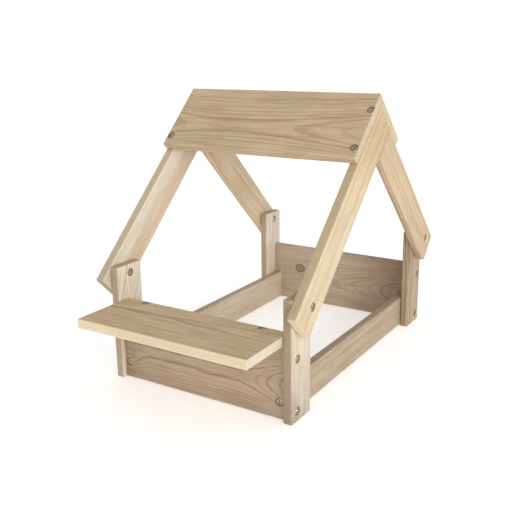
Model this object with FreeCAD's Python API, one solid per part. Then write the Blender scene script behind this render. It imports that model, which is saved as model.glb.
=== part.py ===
"""Open bird feeder house of planed pine, screwed together from laths and boards.

Four posts carry a low frame of four boards, a landing shelf on the front board, two pairs of
rafters on the outer faces of the posts, and two roof boards that meet at the ridge.
Units are millimetres. +X is to the right, +Y to the back and +Z up. The origin is at the middle
of the footprint, on the surface that the posts stand on.
"""
import FreeCAD, Part
import math
import os

# Timber sections
lath_width = 45.0
lath_thickness = 12.5
board_thickness = 12.0
frame_board_width = 93.0
lath_edge_radius = 3.0
board_edge_radius = 2.2
shelf_edge_radius = 1.0
end_edge_radius = 0.6

# House
house_width = 266.0          # over the outer faces of the posts
house_depth = 402.0          # over the front and back edges of the posts
post_height = 150.0
ground_gap = 1.0             # under the four frame boards
board_recess = 5.5           # from the posts' edges to the front and back boards' faces
roof_pitch = math.radians(44.5)
rafter_overhang = 14.0       # of a rafter's low corner past the posts' edges
rafter_corner_height = 134.5
roof_board_starts = {"front": 211.0, "back": 224.0}   # from the rafters' low corners, along the slope
roof_board_inset = 1.5       # from a rafter's outer face to the roof board's end
ridge_gap = 0.4
shelf_projection = 72.0      # in front of the posts
shelf_end_gap = 0.5

# Screws
screw_radius = 2.0
screw_head_radius = 4.0
screw_head_rim = 0.4
screw_head_depth = 2.6
screw_tip_length = 5.0
screw_sink = 1.2             # from the timber's face down to the head
recess_radius = 5.2
screw_clearance = 0.1
drive_slot_length = 4.6
drive_slot_width = 1.1
drive_slot_depth = 1.7
long_screw = 40.0
roof_screw = 30.0
short_screw = 20.0
post_screw_inset = 13.0      # from the posts' edges
post_screw_heights = (13.5, 78.0)
side_screw_inset = 20.0      # from the posts' outer faces
side_screw_height = 23.0
shelf_screw_inset = 46.5     # from the posts' outer faces
shelf_screw_depth = 12.5     # behind the posts' front edges
rafter_screw_height = 138.5
rafter_screw_insets = {"front_left": 23.5, "front_right": 25.0, "back_left": 21.0, "back_right": 17.0}
roof_low_screw_rise = 15.5   # from the roof board's low edge
roof_low_screw_inset = 6.0   # from the roof board's end
roof_high_screw_inset = 4.2
front_high_screw_drop = 15.5  # from the rafters' ridge corner down the slope
back_high_screw_drop = 30.0
high_screw_sides = {"front": (1,), "back": (-1, 1)}   # the front board has none at its upper left

# Derived
half_width = house_width / 2
half_depth = house_depth / 2
house_centre_y = (shelf_projection - rafter_overhang) / 2
front_y = house_centre_y - half_depth
back_y = house_centre_y + half_depth
inner_x = half_width - lath_thickness
board_top = ground_gap + frame_board_width
rafter_length = (half_depth + rafter_overhang) / math.cos(roof_pitch)
roof_board_end_x = half_width + lath_thickness - roof_board_inset

RIGHT = FreeCAD.Vector(1, 0, 0)
BACK = FreeCAD.Vector(0, 1, 0)
UP = FreeCAD.Vector(0, 0, 1)


def point(x, y, z):
    return FreeCAD.Vector(x, y, z)


def timber(corner, along, across, length, width, thickness, edge_radius):
    """A planed bar with rounded long edges and lightly eased ends.

    Its length runs along `along` and its width along `across`, both from `corner`, and its
    thickness runs along their cross product.
    """
    bar = Part.makeBox(length, width, thickness)
    long_edges = [edge for edge in bar.Edges if abs(edge.tangentAt(edge.FirstParameter).x) > 0.5]
    bar = bar.makeFillet(edge_radius, long_edges)
    end_edges = []
    for edge in bar.Edges:
        box = edge.BoundBox
        if box.XLength < 1e-6:
            end_edges.append(edge)
    bar = bar.makeFillet(end_edge_radius, end_edges)
    through = along.cross(across)
    bar.transformShape(FreeCAD.Matrix(
        along.x, across.x, through.x, corner.x,
        along.y, across.y, through.y, corner.y,
        along.z, across.z, through.z, corner.z,
        0, 0, 0, 1))
    return bar


def revolved(profile):
    """The solid of a closed profile of (radius, height) points, turned about the Z axis."""
    points = [point(radius, 0, height) for radius, height in profile]
    face = Part.Face(Part.makePolygon(points + points[:1]))
    return face.revolve(point(0, 0, 0), UP, 360)


def seated(shape, place, direction):
    """Turn a shape that points down -Z so that it points along `direction` from `place`."""
    turn = FreeCAD.Rotation(point(0, 0, -1), direction)
    moved = shape.copy()
    moved.Placement = FreeCAD.Placement(place, turn)
    return moved


def screw(length):
    """Countersunk wood screw with a cross drive, below the timber's face at height 0."""
    head_top = -screw_sink
    body = revolved([
        (0, head_top),
        (screw_head_radius, head_top),
        (screw_head_radius, head_top - screw_head_rim),
        (screw_radius, head_top - screw_head_depth),
        (screw_radius, head_top - length + screw_tip_length),
        (0, head_top - length)])
    for slot_x, slot_y in ((drive_slot_length, drive_slot_width), (drive_slot_width, drive_slot_length)):
        corner = point(-slot_x / 2, -slot_y / 2, head_top - drive_slot_depth)
        body = body.cut(Part.makeBox(slot_x, slot_y, drive_slot_depth + 1, corner))
    return body


def screw_hole(length):
    """The recess, countersink and pilot hole that a screw sits in."""
    head_top = -screw_sink
    head_space = screw_head_radius + screw_clearance
    shank_space = screw_radius + screw_clearance
    return revolved([
        (0, 1),
        (recess_radius, 1),
        (recess_radius, 0),
        (head_space, head_top),
        (head_space, head_top - screw_head_rim - screw_clearance),
        (shank_space, head_top - screw_head_depth - screw_clearance),
        (shank_space, head_top - length + screw_tip_length - screw_clearance),
        (0, head_top - length - 3 * screw_clearance)])


def posts():
    made = {}
    for side, outer_x in (("left", -half_width), ("right", inner_x)):
        for end, y in (("front", front_y), ("back", back_y - lath_width)):
            corner = point(outer_x, y, 0)
            made[f"post_{end}_{side}"] = timber(
                corner + RIGHT * lath_thickness, UP, BACK,
                post_height, lath_width, lath_thickness, lath_edge_radius)
    return made


def frame_boards():
    """Front and back boards between the posts, and side boards between those two."""
    made = {}
    board_faces = {
        "front_board": front_y + board_recess,
        "back_board": back_y - board_recess - board_thickness}
    for name, y in board_faces.items():
        made[name] = timber(
            point(-inner_x, y + board_thickness, ground_gap), RIGHT, UP,
            2 * inner_x, frame_board_width, board_thickness, board_edge_radius)
    side_start = board_faces["front_board"] + board_thickness
    side_length = board_faces["back_board"] - side_start
    for side, x in (("left", -inner_x), ("right", inner_x - lath_thickness)):
        made[f"side_board_{side}"] = timber(
            point(x, side_start, ground_gap), BACK, UP,
            side_length, lath_width, lath_thickness, lath_edge_radius)
    return made


def landing_shelf():
    """Board that lies on the front board, flush with its inner face, and reaches forward."""
    length = 2 * (inner_x - shelf_end_gap)
    width = shelf_projection + board_recess + board_thickness
    corner = point(-length / 2, front_y - shelf_projection, board_top)
    return timber(corner, RIGHT, BACK, length, width, board_thickness, shelf_edge_radius)


def slope(end):
    """Low corner, direction up the slope and inward normal of one slope's rafters."""
    sense = 1 if end == "front" else -1
    low_y = house_centre_y - sense * (half_depth + rafter_overhang)
    up_slope = point(0, sense * math.cos(roof_pitch), math.sin(roof_pitch))
    inward = point(0, sense * math.sin(roof_pitch), -math.cos(roof_pitch))
    return point(0, low_y, rafter_corner_height), up_slope, inward


def slope_timber(end, x_low, x_high, start, finish, inward_start, inward_finish, wide_on_slope, radius):
    """A bar on one slope: x limits, limits along the slope, and limits inward from the rafters' edge."""
    low, up_slope, inward = slope(end)
    x_size = x_high - x_low
    depth = inward_finish - inward_start
    corner = low + up_slope * start + inward * inward_start
    if wide_on_slope:
        # A roof board: its grain runs along X and its width up the slope.
        along_start = x_low if end == "back" else x_high
        along = RIGHT if end == "back" else -RIGHT
        return timber(
            corner + RIGHT * along_start, along, up_slope, x_size, finish - start, depth, radius)
    # A rafter: its grain runs up the slope and its width inward from its outer edge.
    x_start = x_low if end == "back" else x_high
    return timber(
        corner + RIGHT * x_start, up_slope, inward, finish - start, depth, x_size, radius)


def rafters():
    """Front rafters reach the ridge, and back rafters butt against the front rafters' lower edges."""
    made = {}
    finish = {"front": rafter_length, "back": rafter_length - lath_width / math.sin(2 * roof_pitch)}
    for end in ("front", "back"):
        for side, x_low in (("left", -half_width - lath_thickness), ("right", half_width)):
            made[f"rafter_{end}_{side}"] = slope_timber(
                end, x_low, x_low + lath_thickness, 0, finish[end], 0, lath_width,
                False, lath_edge_radius)
    return made


def roof_boards():
    """The front board laps over the upper end of the back board along the ridge."""
    finish = {"front": rafter_length + board_thickness, "back": rafter_length - ridge_gap}
    made = {}
    for end in ("front", "back"):
        made[f"roof_board_{end}"] = slope_timber(
            end, -roof_board_end_x, roof_board_end_x, roof_board_starts[end], finish[end],
            -board_thickness, 0, True, board_edge_radius)
    return made


def screw_places():
    """Node name, screw length and a list of (place on the timber's face, direction) per group."""
    post_screws = []
    side_screws = []
    for end_y, inward_y in ((front_y, 1), (back_y, -1)):
        for outward_x in (-1, 1):
            for height in post_screw_heights:
                place = point(outward_x * half_width, end_y + inward_y * post_screw_inset, height)
                post_screws.append((place, RIGHT * -outward_x))
            place = point(
                outward_x * (half_width - side_screw_inset),
                end_y + inward_y * board_recess, side_screw_height)
            side_screws.append((place, BACK * inward_y))

    shelf_screws = []
    for outward_x in (-1, 1):
        place = point(
            outward_x * (half_width - shelf_screw_inset),
            front_y + shelf_screw_depth, board_top + board_thickness)
        shelf_screws.append((place, -UP))

    # Both pairs are driven towards the left: into the right rafters, and out of the left posts.
    rafter_screws = []
    for side, face_x in (("left", -inner_x), ("right", half_width + lath_thickness)):
        for end, end_y, inward_y in (("front", front_y, 1), ("back", back_y, -1)):
            inset = rafter_screw_insets[f"{end}_{side}"]
            place = point(face_x, end_y + inward_y * inset, rafter_screw_height)
            rafter_screws.append((place, -RIGHT))

    groups = {
        "post_screws": (long_screw, post_screws),
        "side_board_screws": (long_screw, side_screws),
        "shelf_screws": (long_screw, shelf_screws),
        "rafter_screws": (short_screw, rafter_screws)}

    low_screw_x = roof_board_end_x - roof_low_screw_inset
    high_screw_x = roof_board_end_x - roof_high_screw_inset
    for end, drop in (("front", front_high_screw_drop), ("back", back_high_screw_drop)):
        low, up_slope, inward = slope(end)
        surface = low - inward * board_thickness
        spots = [(side * low_screw_x, roof_board_starts[end] + roof_low_screw_rise) for side in (-1, 1)]
        spots += [(side * high_screw_x, rafter_length - drop) for side in high_screw_sides[end]]
        places = [(surface + up_slope * run + RIGHT * x, inward) for x, run in spots]
        groups[f"roof_screws_{end}"] = (roof_screw, places)
    return groups


timbers = {}
timbers.update(posts())
timbers.update(frame_boards())
timbers["landing_shelf"] = landing_shelf()
timbers.update(rafters())
timbers.update(roof_boards())

fasteners = {}
for group, (screw_length, places) in screw_places().items():
    pattern = screw(screw_length)
    hole = screw_hole(screw_length)
    fasteners[group] = Part.makeCompound([seated(pattern, place, way) for place, way in places])
    for place, way in places:
        drilled = seated(hole, place, way)
        for name, bar in timbers.items():
            if bar.BoundBox.intersect(drilled.BoundBox):
                timbers[name] = bar.cut(drilled)

os.makedirs("parts", exist_ok=True)
for name, shape in {**timbers, **fasteners}.items():
    shape.exportStep(os.path.join("parts", f"{name}.step"))
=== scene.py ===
"""Looks of the open bird feeder house: planed pine timbers and countersunk screws."""
import math
import random

import bmesh
import bpy
import numpy as np
from mathutils import Matrix, Vector, noise


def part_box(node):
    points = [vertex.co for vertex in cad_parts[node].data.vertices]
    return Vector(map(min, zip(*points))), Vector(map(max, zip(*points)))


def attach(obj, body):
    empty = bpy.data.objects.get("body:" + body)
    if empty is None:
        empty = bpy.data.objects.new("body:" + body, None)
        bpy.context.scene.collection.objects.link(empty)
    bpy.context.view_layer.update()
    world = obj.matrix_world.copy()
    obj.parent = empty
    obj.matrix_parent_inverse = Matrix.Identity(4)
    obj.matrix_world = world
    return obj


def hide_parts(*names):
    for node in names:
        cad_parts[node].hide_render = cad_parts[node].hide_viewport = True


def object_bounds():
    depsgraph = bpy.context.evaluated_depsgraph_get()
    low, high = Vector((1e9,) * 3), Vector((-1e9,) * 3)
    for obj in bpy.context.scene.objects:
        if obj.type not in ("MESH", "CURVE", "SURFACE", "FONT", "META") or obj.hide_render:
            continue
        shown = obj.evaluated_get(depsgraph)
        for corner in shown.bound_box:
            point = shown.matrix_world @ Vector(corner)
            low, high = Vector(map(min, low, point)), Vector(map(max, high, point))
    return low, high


MM = 0.001   # metres in a millimetre

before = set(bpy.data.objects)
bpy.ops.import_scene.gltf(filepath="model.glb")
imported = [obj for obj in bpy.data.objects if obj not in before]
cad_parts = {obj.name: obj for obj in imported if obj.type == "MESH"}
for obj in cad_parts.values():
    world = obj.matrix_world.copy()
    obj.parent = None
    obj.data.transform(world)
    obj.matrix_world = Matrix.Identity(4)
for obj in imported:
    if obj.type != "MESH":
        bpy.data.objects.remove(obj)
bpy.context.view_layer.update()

# Directions of the house
ROOF_PITCH = math.radians(44.5)
RIGHT = Vector((1, 0, 0))
BACK = Vector((0, 1, 0))
UP = Vector((0, 0, 1))
FRONT_SLOPE = Vector((0, math.cos(ROOF_PITCH), math.sin(ROOF_PITCH)))
BACK_SLOPE = Vector((0, -math.cos(ROOF_PITCH), math.sin(ROOF_PITCH)))
FRONT_INWARD = Vector((0, math.sin(ROOF_PITCH), -math.cos(ROOF_PITCH)))
BACK_INWARD = Vector((0, -math.sin(ROOF_PITCH), -math.cos(ROOF_PITCH)))

# Timber edges and meshes, in millimetres
LATH_ARRIS = 2.8            # radius of a lath's long edges
FRONT_RAFTER_ARRIS = 2.0
BOARD_ARRIS = 2.2
SHELF_ARRIS = 1.0
ARRIS_SWELL = 0.14          # share by which an edge's radius wanders
LEAST_ARRIS = 0.3
FREE_END_EASING = 1.5       # rounding of an end that meets nothing
TIGHT_END_EASING = 0.5      # rounding of an end that butts against a neighbour
SURFACE_WANDER = 0.16       # depth that the plane leaves a face low by
WANDER_RATE = 0.021         # waves of that per millimetre
MESH_STEP = 3.0
ARRIS_STEPS = 6
EASING_STEPS = 4

# Screws and their holes, in millimetres
SCREW_SINK = 1.2
HEAD_RADIUS = 4.0
HEAD_RIM = 0.4
HEAD_DEPTH = 2.6
HEAD_SEGMENTS = 48
HEAD_BEVEL = 0.07
SHANK_RADIUS = 2.0
THREAD_ROOT = 1.35
THREAD_PITCH = 1.8
THREAD_SEGMENTS = 24
THREAD_ROWS_PER_TURN = 8
RIDGE_STEEPNESS = 3.6       # the thread's ridge spans 2 / 3.6 of a turn's pitch
TIP_LENGTH = 5.0
TIP_BLUNTNESS = 0.04        # share of the radius left at the very tip
CROSS_LEVELS = ((0.3, 2.5, 0.62), (-1.9, 1.25, 0.34))   # height, reach and half width of the drive's arms
RECESS_RADIUS = 5.2
RECESS_CHAMFER = 0.3
RECESS_SEGMENTS = 40
RIM_TEAR = 0.025            # share by which a recess's rim is torn
HOLE_CLEARANCE = 0.1

# Wood, in millimetres
KNOT_STRETCH = 1.2          # of the rings round a knot, along the timber
PLANER_RIPPLE = 1.9

# Light
KEY_POWER = 30.0
CEILING = 0.55
FLOOR_GLOW = 0.4

FLOOR_RADIUS = 12.0   # metres


# ---------------------------------------------------------------- timber meshes

def wander(x, seed):
    """Smooth noise in -1..1 along a timber."""
    return noise.noise(Vector((x * WANDER_RATE, seed * 7.31, 0.5)))


def section(width, thickness, radius, steps):
    """Outline of a rounded rectangle, anticlockwise, as (y, z) points.

    steps is the number of parts that the flats across the thickness and the width are divided into.
    """
    corners = ((width - radius, radius, -90), (width - radius, thickness - radius, 0),
               (radius, thickness - radius, 90), (radius, radius, 180))
    outline = []
    for index, (y, z, start) in enumerate(corners):
        for step in range(ARRIS_STEPS + 1):
            angle = math.radians(start + 90 * step / ARRIS_STEPS)
            outline.append((y + radius * math.cos(angle), z + radius * math.sin(angle)))
        y_next, z_next, start_next = corners[(index + 1) % 4]
        angle = math.radians(start_next)
        first = outline[-1]
        last = (y_next + radius * math.cos(angle), z_next + radius * math.sin(angle))
        parts = steps[index % 2]
        for step in range(1, parts):
            outline.append(tuple(a + (b - a) * step / parts for a, b in zip(first, last)))
    return outline


def stations(length, first_easing, last_easing):
    """Places along a timber as (x, inset): rounded ends and even steps between them."""
    def eased(easing):
        angles = [math.radians(90 * step / EASING_STEPS) for step in range(EASING_STEPS + 1)]
        return [(easing * (1 - math.cos(angle)), easing * (1 - math.sin(angle))) for angle in angles]

    count = max(2, round(length / MESH_STEP))
    middle = length - first_easing - last_easing
    inner = [(first_easing + middle * i / count, 0.0) for i in range(1, count)]
    last = [(length - x, inset) for x, inset in reversed(eased(last_easing))]
    return eased(first_easing) + inner + last


def timber_mesh(name, length, width, thickness, arris, easings, seed):
    """A planed bar from its low corner: length on x, width on y, thickness on z, in millimetres."""
    rows = []
    steps = (max(2, round(thickness / MESH_STEP)), round(width / MESH_STEP))
    for x, inset in stations(length, *easings):
        radius = max(LEAST_ARRIS, arris * (1 + ARRIS_SWELL * wander(x, seed + 1)) - inset)
        row = []
        for y, z in section(width - 2 * inset, thickness - 2 * inset, radius, steps):
            y += inset
            z += inset
            # The plane leaves each face a little low in places, never high.
            side_seed = seed + (2 if y < width / 2 else 3)
            face_seed = seed + (4 if z < thickness / 2 else 5)
            low_y = SURFACE_WANDER * (0.5 + 0.5 * wander(x, side_seed))
            low_z = SURFACE_WANDER * (0.5 + 0.5 * wander(x + 0.6 * y, face_seed))
            y += low_y * (1 - 2 * y / width)
            z += low_z * (1 - 2 * z / thickness)
            row.append((x, y, z))
        rows.append(row)
    count = len(rows[0])
    vertices = [Vector(point) * MM for row in rows for point in row]
    faces = [tuple(reversed(range(count)))]
    for i in range(len(rows) - 1):
        for j in range(count):
            k = (j + 1) % count
            faces.append((i * count + j, i * count + k, (i + 1) * count + k, (i + 1) * count + j))
    last = (len(rows) - 1) * count
    faces.append(tuple(range(last, last + count)))
    mesh = bpy.data.meshes.new(name)
    mesh.from_pydata(vertices, [], faces)
    mesh.validate()
    return mesh


def new_object(name, mesh):
    obj = bpy.data.objects.new(name, mesh)
    bpy.context.scene.collection.objects.link(obj)
    return obj


def applied(obj):
    """Replace an object's mesh by its evaluated one and drop its modifiers."""
    graph = bpy.context.evaluated_depsgraph_get()
    mesh = bpy.data.meshes.new_from_object(obj.evaluated_get(graph))
    mesh.name = obj.name
    obj.modifiers.clear()
    old = obj.data
    obj.data = mesh
    bpy.data.meshes.remove(old)
    return obj


def volume(mesh):
    work = bmesh.new()
    work.from_mesh(mesh)
    amount = work.calc_volume()
    work.free()
    return amount


def cut(obj, tool, least=0.9):
    """Subtract a tool.

    If the exact solver leaves less than the least share of the volume, the other solver is used.
    """
    before = volume(obj.data)
    whole = obj.data.copy()
    for solver in ("EXACT", "FAST"):
        modifier = obj.modifiers.new("cut", "BOOLEAN")
        modifier.object = tool
        modifier.operation = "DIFFERENCE"
        modifier.solver = solver
        if solver == "EXACT":
            modifier.material_mode = "TRANSFER"
        applied(obj)
        if least * before < volume(obj.data) < before:
            break
        obj.data = whole.copy()
    return obj


def shade(mesh, degrees=32):
    mesh.shade_smooth()
    mesh.set_sharp_from_angle(angle=math.radians(degrees))


def extent(node, axis):
    """Lowest and highest reach of a CAD node along an axis, in metres."""
    reach = [vertex.co.dot(axis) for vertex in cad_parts[node].data.vertices]
    return min(reach), max(reach)


# ---------------------------------------------------------------- screws

def revolve(profile, segments):
    """Vertices and faces of a profile of (radius, height) points turned about z, capped at both ends."""
    vertices = []
    faces = []
    for radius, height in profile:
        for j in range(segments):
            angle = 2 * math.pi * j / segments
            vertices.append((radius * math.cos(angle), radius * math.sin(angle), height))
    for i in range(len(profile) - 1):
        for j in range(segments):
            k = (j + 1) % segments
            a, b = i * segments, (i + 1) * segments
            faces.append((a + j, b + j, b + k, a + k))
    faces.append(tuple(range(segments)))
    last = (len(profile) - 1) * segments
    faces.append(tuple(reversed(range(last, last + segments))))
    return vertices, faces


def cross_cutter():
    """Tapered cross for the drive recess: wide at the head's face and narrow at its foot."""
    vertices = []
    for height, reach, half in CROSS_LEVELS:
        outline = []
        for quarter in range(4):
            turn = Matrix.Rotation(quarter * math.pi / 2, 2)
            for x, y in ((half, half), (half, reach), (-half, reach)):
                outline.append(turn @ Vector((x, y)))
        vertices += [(p.x, p.y, height) for p in outline]
    count = len(vertices) // 2
    faces = [tuple(range(count)), tuple(reversed(range(count, 2 * count)))]
    for j in range(count):
        k = (j + 1) % count
        faces.append((j, j + count, k + count, k))
    mesh = bpy.data.meshes.new("cross")
    mesh.from_pydata(vertices, [], faces)
    return new_object("cross", mesh)


def screw_mesh(length):
    """Countersunk screw along -z with its head's face at height 0, in millimetres."""
    profile = [(0.2, -0.12), (3.4, -0.04), (3.8, 0.0), (3.93, -0.05), (HEAD_RADIUS, -0.16),
               (HEAD_RADIUS, -HEAD_RIM), (3.93, -HEAD_RIM - 0.08),
               (SHANK_RADIUS - 0.35, -HEAD_DEPTH - 0.1), (THREAD_ROOT, -HEAD_DEPTH - 0.5)]
    vertices, faces = revolve(profile, HEAD_SEGMENTS)
    mesh = bpy.data.meshes.new("screw_head")
    mesh.from_pydata(vertices, [], faces)
    head = new_object("screw_head", mesh)
    tool = cross_cutter()
    head = cut(head, tool, 0.5)
    bevel = head.modifiers.new("bevel", "BEVEL")
    bevel.width = HEAD_BEVEL
    bevel.segments = 2
    bevel.limit_method = "ANGLE"
    bevel.angle_limit = math.radians(40)
    head = applied(head)
    points = [tuple(v.co) for v in head.data.vertices]
    polygons = [tuple(p.vertices) for p in head.data.polygons]
    for obj in (head, tool):
        bpy.data.objects.remove(obj)
    # Thread: a cylinder whose radius follows a helix.
    around = THREAD_SEGMENTS
    start = HEAD_DEPTH + 0.4
    rows = int((length - start) / THREAD_PITCH * THREAD_ROWS_PER_TURN)
    base = len(points)
    for i in range(rows + 1):
        depth = start + (length - start) * i / rows
        scale = min(1.0, (length - depth) / TIP_LENGTH + TIP_BLUNTNESS)
        for j in range(around):
            phase = (depth / THREAD_PITCH - j / around) % 1.0
            ridge = max(0.0, 1 - abs(phase - 0.5) * RIDGE_STEEPNESS)
            radius = (THREAD_ROOT + (SHANK_RADIUS - THREAD_ROOT) * ridge) * scale
            angle = 2 * math.pi * j / around
            points.append((radius * math.cos(angle), radius * math.sin(angle), -depth))
    for i in range(rows):
        for j in range(around):
            k = (j + 1) % around
            a, b = base + i * around, base + (i + 1) * around
            polygons.append((a + j, b + j, b + k, a + k))
    polygons.append(tuple(base + j for j in range(around)))
    last = base + rows * around
    polygons.append(tuple(last + j for j in reversed(range(around))))
    return points, polygons


def hole_mesh(length, seed):
    """Recess, countersink and pilot hole below height 0, with a slightly torn rim."""
    rim = RECESS_RADIUS + RECESS_CHAMFER
    head = HEAD_RADIUS + HOLE_CLEARANCE
    shank = SHANK_RADIUS + HOLE_CLEARANCE
    sink = SCREW_SINK
    profile = [
        (rim, 2.0),
        (rim, 0.05),
        (RECESS_RADIUS, -RECESS_CHAMFER),
        (head, -sink),
        (head, -sink - HEAD_RIM),
        (shank, -sink - HEAD_DEPTH),
        (shank, -sink - length + TIP_LENGTH),
        (0.3, -sink - length - 0.3)]
    vertices, faces = revolve(profile, RECESS_SEGMENTS)
    torn = []
    for x, y, z in vertices:
        if z > -RECESS_CHAMFER - 0.01:
            tear = 1 + RIM_TEAR * noise.noise(Vector((x * 0.8, y * 0.8, seed * 3.7)))
            x, y = x * tear, y * tear
        torn.append((x, y, z))
    return torn, faces


def face_outward(mesh):
    work = bmesh.new()
    work.from_mesh(mesh)
    bmesh.ops.recalc_face_normals(work, faces=work.faces)
    work.to_mesh(mesh)
    work.free()


def islands(node):
    """The separate solids of a CAD node, as arrays of points."""
    work = bmesh.new()
    work.from_mesh(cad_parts[node].data)
    bmesh.ops.remove_doubles(work, verts=work.verts, dist=1e-6)
    left = set(work.verts)
    found = []
    while left:
        stack = [left.pop()]
        group = []
        while stack:
            vertex = stack.pop()
            group.append(vertex.co[:])
            for edge in vertex.link_edges:
                other = edge.other_vert(vertex)
                if other in left:
                    left.remove(other)
                    stack.append(other)
        found.append(np.array(group))
    work.free()
    return found


def screw_places(node):
    """(middle of the head's face, direction into the wood, length) of each screw in a CAD node."""
    ways = [s * a for a in (RIGHT, BACK, UP) for s in (1, -1)] + [FRONT_INWARD, BACK_INWARD]
    places = []
    for points in islands(node):
        middle = points.mean(0)
        spread = points - middle
        main = Vector(np.linalg.eigh(spread.T @ spread)[1][:, 2])
        best = None
        for way in ways:
            if abs(way.dot(main)) < 0.98:
                continue
            along = points @ np.array(way)
            near = points[along < along.min() + 0.1 * MM]
            girth = np.ptp(near, axis=0).max()
            if best is None or girth > best[0]:
                centre = Vector((near.min(0) + near.max(0)) / 2)
                best = (girth, centre, way, (along.max() - along.min()) / MM)
        places.append(best[1:])
    places.sort(key=lambda place: tuple(round(value, 4) for value in place[0]))
    return places


def screw_matrix(place, way, spin):
    """From screw millimetres to the row frame."""
    turn = Vector((0, 0, -1)).rotation_difference(way).to_matrix().to_4x4()
    return Matrix.Translation(place) @ turn @ Matrix.Rotation(spin, 4, "Z") @ Matrix.Scale(MM, 4)


def merged(name, parts):
    """One mesh from (vertices, faces, matrix) parts."""
    vertices = []
    faces = []
    for points, polygons, matrix in parts:
        base = len(vertices)
        vertices += [matrix @ Vector(p) for p in points]
        faces += [tuple(base + i for i in polygon) for polygon in polygons]
    mesh = bpy.data.meshes.new(name)
    mesh.from_pydata(vertices, [], faces)
    mesh.validate()
    return mesh


# ---------------------------------------------------------------- node helpers

class Graph:
    """A material's node tree. Most methods add a node and return its output socket."""

    def __init__(self, name):
        self.material = bpy.data.materials.new(name)
        self.material.use_nodes = True
        self.tree = self.material.node_tree
        self.tree.nodes.clear()

    def feed(self, socket, value):
        if isinstance(value, bpy.types.NodeSocket):
            self.tree.links.new(value, socket)
        else:
            socket.default_value = value

    def add(self, kind, settings=None, inputs=None):
        node = self.tree.nodes.new(kind)
        for key, value in (settings or {}).items():
            setattr(node, key, value)
        for key, value in (inputs or {}).items():
            self.feed(node.inputs[key], value)
        return node

    def math(self, operation, *values):
        node = self.add("ShaderNodeMath", {"operation": operation}, dict(enumerate(values)))
        return node.outputs[0]

    def smooth(self, value, low, high, start=0.0, end=1.0):
        """Smooth step of value from low to high, giving start to end."""
        node = self.add("ShaderNodeMapRange", {"interpolation_type": "SMOOTHSTEP"},
                        {"Value": value, "From Min": low, "From Max": high, "To Min": start, "To Max": end})
        return node.outputs["Result"]

    def linear(self, value, low, high, start=0.0, end=1.0):
        node = self.add("ShaderNodeMapRange", {},
                        {"Value": value, "From Min": low, "From Max": high, "To Min": start, "To Max": end})
        return node.outputs["Result"]

    def total(self, *values):
        """Sum of several values, added from the left."""
        result = values[0]
        for value in values[1:]:
            result = self.math("ADD", result, value)
        return result

    def product(self, *values):
        result = values[0]
        for value in values[1:]:
            result = self.math("MULTIPLY", result, value)
        return result

    def swing(self, noise_value, reach):
        """Noise of 0..1 turned into a push of half the reach to either side."""
        return self.math("MULTIPLY", self.math("SUBTRACT", noise_value, 0.5), reach)

    def scaled_noise(self, scale, detail, roughness=0.5):
        """Noise in the object's own metres."""
        position = self.add("ShaderNodeTexCoord").outputs["Object"]
        vector = self.add("ShaderNodeVectorMath", {"operation": "SCALE"}, {0: position, "Scale": scale})
        return self.noise(vector.outputs[0], detail, roughness)

    def vector(self, x, y, z):
        return self.add("ShaderNodeCombineXYZ", {}, {"X": x, "Y": y, "Z": z}).outputs[0]

    def noise(self, vector, detail=2.0, roughness=0.5):
        node = self.add("ShaderNodeTexNoise", {}, {
            "Vector": vector, "Scale": 1.0, "Detail": detail, "Roughness": roughness})
        return node.outputs["Fac"]

    def mix(self, factor, a, b, blend="MIX"):
        node = self.add("ShaderNodeMix", {"data_type": "RGBA", "blend_type": blend})
        self.feed(node.inputs["Factor"], factor)
        self.feed(node.inputs["A"], a)
        self.feed(node.inputs["B"], b)
        return node.outputs["Result"]

    def finish(self, shader):
        output = self.add("ShaderNodeOutputMaterial")
        self.tree.links.new(shader, output.inputs["Surface"])
        return self.material


def rgb(red, green, blue):
    """Linear colour from 0-255 display values."""
    channels = []
    for value in (red, green, blue):
        value /= 255
        channels.append(value / 12.92 if value <= 0.04045 else ((value + 0.055) / 1.055) ** 2.4)
    return (*channels, 1.0)


# ---------------------------------------------------------------- materials

class TimberGraph(Graph):
    """Node tree of one timber, in the timber's own coordinates: millimetres from its low corner."""

    def __init__(self, name, size, seed):
        super().__init__(name)
        self.length, self.width, self.thickness = size
        self.seed = seed
        self.shift = seed * 13.7
        position = self.add("ShaderNodeTexCoord").outputs["Object"]
        split = self.add("ShaderNodeSeparateXYZ", {}, {"Vector": position})
        self.x, self.y, self.z = (self.product(split.outputs[i], 1 / MM) for i in range(3))

    def stretched(self, step_x, step_y, step_z, offset=0.0, detail=2.0, roughness=0.5):
        """Noise with features of the given lengths, different on each timber."""
        vector = self.vector(
            self.total(self.math("DIVIDE", self.x, step_x), self.shift + offset),
            self.total(self.math("DIVIDE", self.y, step_y), self.shift * 0.37),
            self.math("DIVIDE", self.z, step_z))
        return self.noise(vector, detail, roughness)


def pith_distance(g, look):
    """Distance from the pith, which bends and sways along the timber."""
    run = g.math("DIVIDE", g.math("SUBTRACT", g.x, look["bend_x"]), 100.0)
    bent = g.math("MAXIMUM", run, 0.0) if look["bend_after"] else run
    bend = g.product(bent, bent, look["bend"])
    pith_y = g.total(look["pith_y"], g.product(run, look["slope_y"]))
    pith_z = g.total(look["pith_z"], bend, g.product(run, look["slope_z"]))
    sway_y = g.swing(g.stretched(85, 60, 60, 3.1), look["sway"])
    sway_z = g.swing(g.stretched(60, 45, 45, 9.4), look["sway"] * 0.6)
    from_y = g.total(g.math("SUBTRACT", g.y, pith_y), sway_y)
    from_z = g.total(g.math("SUBTRACT", g.z, pith_z), sway_z)
    radius = g.math("SQRT", g.total(g.product(from_y, from_y), g.product(from_z, from_z)))
    return g.total(radius, g.swing(g.stretched(22, 9, 9, 5.5), 0.9))


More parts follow.
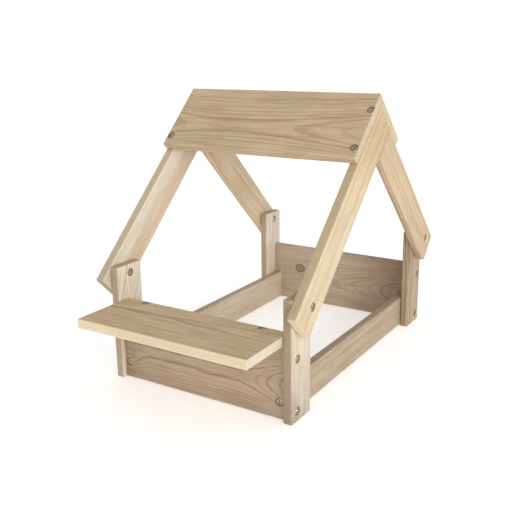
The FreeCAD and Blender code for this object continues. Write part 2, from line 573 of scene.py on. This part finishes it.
def lifted_by_knots(g, look, radius):
    """The distance from the pith with the rings closed round each knot, and the marks of a visible knot."""
    marks = None
    for knot in look["knots"]:
        across = g.math("SUBTRACT", g.y, knot["y"])
        along = g.math("DIVIDE", g.math("SUBTRACT", g.x, knot["x"]), KNOT_STRETCH)
        squared = g.total(g.product(across, across), g.product(along, along))
        away = g.math("SQRT", squared)
        swell = g.math("EXPONENT", g.math("DIVIDE", squared, -knot["spread"] ** 2))
        radius = g.total(radius, g.product(swell, knot["lift"]))
        if "radius" in knot:
            edge = knot["radius"]
            rough_away = g.total(away, g.swing(g.stretched(5, 5, 9, 2.2), 1.6))
            marks = dict(
                inside=g.smooth(rough_away, edge + 0.4, edge - 0.5),
                rim=g.product(g.smooth(rough_away, edge - 2.2, edge - 0.5),
                              g.smooth(rough_away, edge + 1.0, edge + 0.1)),
                wave=g.math("FRACT", g.math("DIVIDE", rough_away, 1.35)),
                core=g.smooth(rough_away, 1.5, 0.3))
    return radius, marks


def late_wood(g, look, radius):
    """The dark part of each growth ring, for rings of uneven width and strength."""
    uneven = g.add("ShaderNodeTexNoise", {"noise_dimensions": "1D"}, {
        "W": g.total(g.math("DIVIDE", radius, 7.0), g.shift), "Scale": 1.0, "Detail": 1.0})
    radius = g.total(radius, g.swing(uneven.outputs["Fac"], 2.2))
    count = g.math("DIVIDE", g.total(radius, look["phase"]), look["ring"])
    phase = g.math("FRACT", count)
    ring_noise = g.add("ShaderNodeTexWhiteNoise", {"noise_dimensions": "1D"}, {
        "W": g.total(g.math("FLOOR", count), g.seed)})
    strength = g.linear(ring_noise.outputs["Value"], 0.0, 1.0, look["faintest"], 1.0)
    return g.product(g.smooth(phase, look["late_from"], 0.88), g.smooth(phase, 1.0, 0.95), strength)


def tinted(g, look, colour):
    """Tint the parts of a timber that differ in tone, and those painted darker as shade."""
    wavy = g.swing(g.stretched(30, 12, 12, 2.6), 26.0)
    for part in look["areas"]:
        if part["axis"] == "x":
            along = g.total(g.x, g.product(g.y, part["lean"]), wavy)
        else:
            along = g.total(g.y, g.product(wavy, 0.3))
        place = g.smooth(along, part["start"], part["end"])
        colour = g.mix(place, colour, rgb(*part["tone"]), "MULTIPLY")
    return colour


def pine(name, size, look, seed):
    """Solid pine: growth rings about a pith, fibres, knots, eased arrises and end grain."""
    g = TimberGraph(name, size, seed)
    radius, knot = lifted_by_knots(g, look, pith_distance(g, look))
    late = late_wood(g, look, radius)

    # Early and late wood, blotches, streaks and fibres
    blotch = g.stretched(70, 26, 26, 7.7, 3.0)
    tint = g.stretched(46, 9, 9, 1.3, 2.0)
    fibre = g.stretched(11, 0.5, 0.5, 4.2, 4.0, 0.62)
    fleck = g.smooth(g.stretched(3.2, 0.28, 0.28, 8.8, 2.0), 0.64, 0.76)
    streaks = g.stretched(120, 2.2, 2.2, 6.1, 3.0, 0.6)
    early = g.mix(g.smooth(tint, 0.38, 0.66, 0.0, 0.75), look["early"], look["warm"])
    early = g.mix(g.smooth(streaks, 0.48, 0.68, 0.0, look["streak"]), early, look["late"])
    colour = g.mix(g.product(late, look["contrast"]), early, look["late"])
    colour = tinted(g, look, colour)

    # Sawn ends show torn fibres.
    to_end = g.math("MINIMUM", g.x, g.math("SUBTRACT", g.length, g.x))
    end = g.smooth(to_end, 0.5, 0.12)
    pores = g.noise(
        g.vector(g.math("DIVIDE", g.x, 0.5), g.math("DIVIDE", g.y, 0.35), g.math("DIVIDE", g.z, 0.5)),
        3.0, 0.65)
    end_grain = g.total(g.smooth(pores, 0.4, 0.75, 0.0, 0.45), g.product(late, 0.3))
    colour = g.mix(g.product(end, 0.92), colour, g.mix(end_grain, look["end"], look["late"]))

    # The narrow sides have their own tone: the posts' own darker fronts, and painted shade on the side
    # boards' top edges and the front rafters' upper edges, which turn away from the light.
    to_side = g.math("MINIMUM", g.y, g.math("SUBTRACT", g.width, g.y))
    side = g.smooth(to_side, 1.2, 0.2)
    colour = g.mix(g.product(side, look["side_mix"]), colour, look["side"])
    if knot:
        heart = g.mix(g.smooth(knot["wave"], 0.3, 0.95), look["knot_light"], look["knot_dark"])
        heart = g.mix(knot["core"], heart, look["knot_dark"])
        colour = g.mix(g.product(knot["inside"], 0.8), colour, heart)
        colour = g.mix(g.product(knot["rim"], 0.8), colour, look["knot_dark"])

    # Lightness: eased arrises are slightly paler.
    to_face = g.math("MINIMUM", g.z, g.math("SUBTRACT", g.thickness, g.z))
    arris = g.smooth(g.total(to_side, to_face), 3.0, 0.8)
    shade_by = g.product(
        g.linear(blotch, 0.25, 0.75, 0.93, 1.06), g.linear(fibre, 0.25, 0.75, 0.9, 1.08),
        g.linear(fleck, 0.0, 1.0, 1.0, 0.8), g.linear(arris, 0.0, 1.0, 1.0, 1.05))
    colour = g.mix(1.0, colour, g.vector(shade_by, shade_by, shade_by), "MULTIPLY")

    # Surface: raised late wood and fibres, the planer's ripple, saw marks on the ends.
    rough = g.total(
        g.linear(late, 0.0, 1.0, 0.68, 0.56), g.linear(fibre, 0.2, 0.8, -0.05, 0.06), g.product(end, 0.16))
    ripple = g.math("SINE", g.product(g.total(g.x, g.product(tint, 3.0)), 2 * math.pi / PLANER_RIPPLE))
    saw = g.noise(g.vector(0.0, g.math("DIVIDE", g.y, 1.1), g.math("DIVIDE", g.z, 9.0)), 3.0, 0.7)
    height = g.total(
        g.product(late, 0.35), g.product(fibre, 0.6), g.product(fleck, -0.4), g.product(ripple, 0.035),
        g.product(end, g.total(g.product(saw, 0.7), pores)))
    if knot:
        height = g.total(height, g.product(knot["rim"], -0.8))
    bump = g.add("ShaderNodeBump", {}, {"Strength": 0.6, "Distance": 0.00025, "Height": height})
    shader = g.add("ShaderNodeBsdfPrincipled", {}, {
        "Base Color": colour, "Roughness": rough, "Normal": bump.outputs["Normal"]})
    shader.inputs["Specular IOR Level"].default_value = 0.3
    return g.finish(shader.outputs["BSDF"])


def shaded_bored_pine():
    """Wood crushed and browned by the countersink and the drill, and darkened further as painted shade of
    the recess walls.
    """
    g = Graph("shaded_bored_pine")
    torn = g.scaled_noise(900.0, 4.0, 0.65)
    # The dark browns are painted shade of the recess walls, on top of the drilled wood's own browning.
    colour = g.mix(g.smooth(torn, 0.35, 0.7), rgb(150, 124, 98), rgb(100, 78, 60))
    bump = g.add("ShaderNodeBump", {}, {"Strength": 0.7, "Distance": 0.0003, "Height": torn})
    shader = g.add("ShaderNodeBsdfPrincipled", {}, {"Base Color": colour, "Normal": bump.outputs["Normal"]})
    shader.inputs["Roughness"].default_value = 0.85
    shader.inputs["Specular IOR Level"].default_value = 0.2
    return g.finish(shader.outputs["BSDF"])


def screw_steel():
    """Zinc-plated steel with fine scratches and a little dull oxide."""
    g = Graph("screw_steel")
    coarse = g.scaled_noise(420.0, 3.0)
    fine = g.scaled_noise(2600.0, 2.0)
    colour = g.mix(g.smooth(coarse, 0.35, 0.7), rgb(208, 196, 176), rgb(150, 132, 110))
    rough = g.linear(coarse, 0.3, 0.7, 0.2, 0.36)
    bump = g.add("ShaderNodeBump", {}, {"Strength": 0.25, "Distance": 0.00004, "Height": fine})
    shader = g.add("ShaderNodeBsdfPrincipled", {}, {
        "Base Color": colour, "Roughness": rough, "Normal": bump.outputs["Normal"]})
    shader.inputs["Metallic"].default_value = 1.0
    return g.finish(shader.outputs["BSDF"])


def floor_material():
    """Pale matt studio floor."""
    g = Graph("studio_floor")
    cloud = g.scaled_noise(3.0, 2.0)
    colour = g.mix(cloud, (0.86, 0.86, 0.86, 1), (0.9, 0.9, 0.9, 1))
    shader = g.add("ShaderNodeBsdfPrincipled", {}, {"Base Color": colour})
    shader.inputs["Roughness"].default_value = 0.9
    shader.inputs["Specular IOR Level"].default_value = 0.1
    shader.inputs["Emission Color"].default_value = (1, 1, 1, 1)
    shader.inputs["Emission Strength"].default_value = FLOOR_GLOW
    return g.finish(shader.outputs["BSDF"])


# ---------------------------------------------------------------- the timbers' looks

# What a timber's look has unless it says otherwise. Lengths are in millimetres.
PLAIN = dict(
    ring=2.8,            # distance between growth rings
    phase=0.0,           # shift of the rings outwards
    bend_x=0.0,          # place along the timber that the pith bends away from
    bend=0.0,            # how far it has bent through the timber 100 mm from there
    bend_after=False,    # whether it bends only beyond that place
    slope_y=0.0,         # how far it drifts across the timber over 100 mm
    slope_z=0.0,         # and through the timber
    sway=5.0,            # its irregular swing
    contrast=0.85,       # of the late wood
    faintest=0.25,       # strength of the weakest ring
    late_from=0.42,      # share of a ring where its late wood begins
    streak=0.35,         # strength of the long streaks
    side_mix=0.0,        # strength of the narrow sides' tone, partly their own and partly painted shade
    knots=(),
    areas=(),
    knot_light=rgb(160, 130, 102),
    knot_dark=rgb(112, 84, 62))


def wood(tone, pith_y, pith_z, side=None, **settings):
    """A timber's look. The pith lies at pith_y, pith_z from the timber's low corner."""
    early, warm, late, end = (rgb(*colour) for colour in tone)
    # side is the narrow sides' tone: partly the wood's own, partly painted shade.
    side = rgb(*side) if side else early
    return dict(PLAIN, early=early, warm=warm, late=late, end=end, side=side,
                pith_y=pith_y, pith_z=pith_z, **settings)


def area(axis, start, end, tone, lean=0.0):
    """A part of a timber towards end that is tinted, fading in from start.

    With axis "x" its boundary may lean with y.
    """
    return dict(axis=axis, start=start, end=end, tone=tone, lean=lean)


def everywhere(tone):
    """A tint over a whole timber: no timber is as long as 390 mm."""
    return area("x", 400, 390, tone)


# Tones: early wood, its warm patches, late wood, sawn end
CREAM = ((211, 195, 165), (203, 183, 149), (180, 154, 120), (238, 222, 188))
GREY_CREAM = ((224, 214, 199), (214, 202, 182), (176, 157, 132), (178, 158, 130))
# PALE_CREAM's sawn end is dark: painted shade of the front right post's top under the rafter's foot.
PALE_CREAM = ((208, 198, 176), (202, 187, 163), (172, 151, 126), (176, 150, 118))
OLIVE = ((202, 180, 145), (193, 168, 133), (140, 110, 83), (205, 190, 164))
PALE_OLIVE = ((212, 190, 153), (203, 177, 140), (146, 115, 86), (219, 213, 192))
HONEY = ((218, 200, 170), (210, 186, 153), (160, 131, 102), (214, 198, 172))
DULL = ((188, 168, 142), (178, 154, 126), (136, 110, 86), (196, 182, 160))
ROSY = ((194, 174, 148), (184, 160, 134), (134, 106, 84), (196, 182, 160))
GREY_ROSY = ((192, 176, 155), (182, 162, 141), (134, 108, 90), (196, 182, 160))

TIMBERS = {
    # node: (along, across, arris, material slot name, which here only picks the end easings, look)
    "post_front_left": (UP, BACK, LATH_ARRIS, "post_timber", wood(
        GREY_CREAM, pith_y=-30, pith_z=24, slope_y=24, ring=3.4, side=(168, 146, 122), side_mix=0.85)),
    "post_front_right": (UP, BACK, LATH_ARRIS, "post_timber", wood(
        PALE_CREAM, pith_y=20, pith_z=46, ring=3.4, slope_z=-3, contrast=0.5,
        side=(156, 134, 109), side_mix=0.8,
        # The front right post is tinted greyer and darker towards its foot: painted shade, as less light
        # falls near the floor.
        areas=[area("x", 84, 36, (243, 244, 250)), area("x", 66, 12, (214, 208, 204), lean=1.3)])),
    "post_back_left": (UP, BACK, LATH_ARRIS, "post_timber", wood(
        GREY_CREAM, pith_y=60, pith_z=26, ring=3.6, slope_y=5, late_from=0.3,
        side=(164, 142, 118), side_mix=0.85)),
    "post_back_right": (UP, BACK, LATH_ARRIS, "post_timber", wood(
        DULL, pith_y=26, pith_z=40, ring=4.4, bend_x=40, bend=3, contrast=1.0, late_from=0.3,
        areas=[everywhere((242, 241, 235))])),
    "front_board": (RIGHT, UP, BOARD_ARRIS, "frame_timber", wood(
        ROSY, pith_y=43, pith_z=-26, bend_x=170, bend=17.8, bend_after=True, ring=2.6, sway=2,
        late_from=0.66, faintest=0.35, streak=0.2, contrast=0.75,
        knots=[dict(x=5, y=21, spread=17, lift=-6.5)],
        areas=[everywhere((240, 239, 238)), area("x", 40, -10, (222, 212, 202)),
               area("y", 28, 4, (246, 245, 246))])),
    "back_board": (RIGHT, UP, BOARD_ARRIS, "frame_timber", wood(
        GREY_ROSY, pith_y=41, pith_z=-30, bend_x=60, bend=4.8, sway=2, ring=2.4, late_from=0.5, streak=0.2,
        contrast=0.58, knots=[dict(x=49, y=56, spread=24, lift=-28, radius=7)],
        # The back board darkens towards its right end: painted shade of the corner by the right post.
        areas=[area("x", 100, 230, (214, 204, 194)), area("x", 60, 0, (255, 252, 246))])),
    # The side boards' side tones darken their top edges: painted shade, as the tops face away from the
    # light.
    "side_board_left": (BACK, UP, LATH_ARRIS, "frame_timber", wood(
        GREY_CREAM, pith_y=-22, pith_z=-18, slope_y=-8, ring=3.3, contrast=0.6,
        side=(176, 152, 126), side_mix=0.8,
        areas=[everywhere((232, 226, 218))])),
    "side_board_right": (BACK, UP, LATH_ARRIS, "frame_timber", wood(
        DULL, pith_y=72, pith_z=-14, slope_y=2, ring=3.0, contrast=1.0, faintest=0.12,
        side=(160, 138, 112), side_mix=0.7,
        areas=[everywhere((246, 252, 254))])),
    "landing_shelf": (RIGHT, BACK, SHELF_ARRIS, "shelf_timber", wood(
        PALE_OLIVE, pith_y=56, pith_z=-18, bend_x=50, bend=0.9, slope_y=4, sway=3, contrast=0.6,
        side=(226, 208, 176), side_mix=0.9)),
    # The front rafters' side tones darken their upper edges: painted shade, as those faces turn away from
    # the light.
    "rafter_front_left": (FRONT_SLOPE, FRONT_INWARD, FRONT_RAFTER_ARRIS, "rafter_timber", wood(
        GREY_CREAM, pith_y=70, pith_z=26, ring=2.8, contrast=0.6, side=(188, 170, 143), side_mix=0.85,
        areas=[area("y", 14, 26, (247, 237, 224))])),
    "rafter_front_right": (FRONT_SLOPE, FRONT_INWARD, FRONT_RAFTER_ARRIS, "rafter_timber", wood(
        CREAM, pith_y=18, pith_z=52, ring=3.6, contrast=0.5, side=(186, 163, 131), side_mix=0.8,
        areas=[area("x", 150, 270, (238, 228, 217))])),
    "rafter_back_left": (BACK_SLOPE, BACK_INWARD, LATH_ARRIS, "rafter_timber", wood(
        HONEY, pith_y=58, pith_z=-12, ring=3.4, bend_x=150, bend=3)),
    "rafter_back_right": (BACK_SLOPE, BACK_INWARD, LATH_ARRIS, "rafter_timber", wood(
        HONEY, pith_y=-26, pith_z=-16, ring=3.4, contrast=0.9,
        areas=[everywhere((240, 236, 232))])),
    "roof_board_front": (RIGHT, FRONT_SLOPE, BOARD_ARRIS, "roof_timber", wood(
        OLIVE, pith_y=39, pith_z=-33, ring=2.75, bend_x=105, bend=2.13, sway=1.5, contrast=0.68, phase=0.5,
        faintest=0.06, late_from=0.5)),
    "roof_board_back": (-RIGHT, BACK_SLOPE, BOARD_ARRIS, "roof_timber", wood(
        OLIVE, pith_y=44, pith_z=-30, bend_x=190, bend=1.9, sway=2)),
}
END_EASINGS = {
    "post_timber": (FREE_END_EASING, FREE_END_EASING),
    "frame_timber": (TIGHT_END_EASING, TIGHT_END_EASING),
    "shelf_timber": (TIGHT_END_EASING, TIGHT_END_EASING),
    "rafter_timber": (FREE_END_EASING, TIGHT_END_EASING),
    "roof_timber": (TIGHT_END_EASING, TIGHT_END_EASING)}
SCREW_NODES = ("post_screws", "side_board_screws", "shelf_screws", "rafter_screws",
               "roof_screws_front", "roof_screws_back")


def make_screws():
    """Builds each group of screws and returns the cutters for their holes."""
    steel = screw_steel()
    shaded_bored = shaded_bored_pine()
    chance = random.Random(5)
    patterns = {}
    cutters = []
    for node in SCREW_NODES:
        parts = []
        for place, way, length in screw_places(node):
            length = round(length)
            if length not in patterns:
                patterns[length] = screw_mesh(length)
            points, polygons = patterns[length]
            spin = chance.uniform(0, math.pi / 2)
            parts.append((points, polygons, screw_matrix(place, way, spin)))
            surface = place - way * SCREW_SINK * MM
            holes, hole_faces = hole_mesh(length, len(cutters))
            hole = merged(f"hole_{len(cutters)}", [(holes, hole_faces, screw_matrix(surface, way, 0))])
            face_outward(hole)
            # The holes' walls take the pine darkened as painted shade of the recess.
            hole.materials.append(shaded_bored)
            cutters.append(hole)
        mesh = merged(node, parts)
        shade(mesh, 40)
        mesh.materials.append(steel)
        group = new_object(f"{node}_set", mesh)
        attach(group, "root")
        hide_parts(node)
    return cutters


def touching(mesh, box):
    low, high = box
    points = np.array([v.co for v in mesh.vertices])
    return bool((points.max(0) > low).all() and (points.min(0) < high).all())


def make_timbers(cutters):
    for seed, (node, (along, across, arris, slot, look)) in enumerate(TIMBERS.items()):
        through = along.cross(across)
        ends = [extent(node, axis) for axis in (along, across, through)]
        size = [(high - low) / MM for low, high in ends]
        corner = along * ends[0][0] + across * ends[1][0] + through * ends[2][0]
        turn = Matrix((along, across, through)).transposed().to_4x4()
        mesh = timber_mesh(node, *size, arris, END_EASINGS[slot], seed * 11)
        mesh.materials.append(pine(f"pine_{node}", size, look, seed + 1))
        piece = new_object(f"{node}_timber", mesh)
        piece.matrix_world = Matrix.Translation(corner) @ turn
        bpy.context.view_layer.update()
        box = [np.array(c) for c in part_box(node)]
        for cutter in cutters:
            if touching(cutter, box):
                tool = new_object("hole", cutter)
                cut(piece, tool)
                bpy.data.objects.remove(tool)
        shade(piece.data)
        weighted = piece.modifiers.new("normals", "WEIGHTED_NORMAL")
        weighted.keep_sharp = True
        applied(piece)
        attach(piece, "root")
        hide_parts(node)


# ---------------------------------------------------------------- stage

def make_camera():
    """Sees the feeder from its right front corner, slightly from above."""
    azimuth = math.radians(30.79)
    elevation = math.radians(14.91)
    roll = math.radians(-0.25)
    distance = 1.02456
    target = Vector((-0.00159, 0.029, 0.14947))
    back = Vector((math.sin(azimuth) * math.cos(elevation), -math.cos(azimuth) * math.cos(elevation),
                   math.sin(elevation)))
    right = Vector((math.cos(azimuth), math.sin(azimuth), 0))
    up = back.cross(right)
    side = right * math.cos(roll) + up * math.sin(roll)
    top = up * math.cos(roll) - right * math.sin(roll)
    data = bpy.data.cameras.new("camera")
    data.lens = 50.95
    data.sensor_width = 36
    data.shift_x = -0.0437
    data.shift_y = -0.0243
    camera = bpy.data.objects.new("camera", data)
    bpy.context.scene.collection.objects.link(camera)
    turn = Matrix((side, top, back)).transposed().to_4x4()
    camera.matrix_world = Matrix.Translation(target + back * distance) @ turn
    bpy.context.scene.camera = camera


def area_light(name, place, target, size, power, colour):
    data = bpy.data.lights.new(name, "AREA")
    data.shape = "RECTANGLE"
    data.size, data.size_y = size
    data.energy = power
    data.color = colour
    light = bpy.data.objects.new(name, data)
    bpy.context.scene.collection.objects.link(light)
    light.location = place
    light.rotation_euler = (Vector(target) - Vector(place)).to_track_quat("-Z", "Y").to_euler()


def make_stage():
    work = bmesh.new()
    bmesh.ops.create_circle(work, cap_ends=True, segments=96, radius=FLOOR_RADIUS)
    mesh = bpy.data.meshes.new("floor")
    work.to_mesh(mesh)
    work.free()
    floor = new_object("floor", mesh)
    floor.location.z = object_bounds()[0][2]
    mesh.materials.append(floor_material())
    make_sky()
    area_light("key", (2.45, -1.05, 0.75), (0, 0, 0.15), (1.5, 1.2), KEY_POWER, (1.0, 0.975, 0.94))
    bpy.context.scene.view_settings.view_transform = "Standard"


def make_sky():
    """A white studio: full brightness round the sides and a weaker ceiling."""
    world = bpy.data.worlds.new("studio")
    bpy.context.scene.world = world
    world.use_nodes = True
    tree = world.node_tree
    direction = tree.nodes.new("ShaderNodeTexCoord").outputs["Generated"]
    split = tree.nodes.new("ShaderNodeSeparateXYZ")
    ceiling = tree.nodes.new("ShaderNodeMapRange")
    ceiling.interpolation_type = "SMOOTHSTEP"
    for name, value in (("From Min", 0.2), ("From Max", 0.95), ("To Min", 1.0), ("To Max", CEILING)):
        ceiling.inputs[name].default_value = value
    tree.links.new(direction, split.inputs[0])
    tree.links.new(split.outputs["Z"], ceiling.inputs["Value"])
    tree.links.new(ceiling.outputs["Result"], tree.nodes["Background"].inputs["Strength"])
    tree.nodes["Background"].inputs["Color"].default_value = (1, 1, 1, 1)


make_timbers(make_screws())
make_camera()
make_stage()
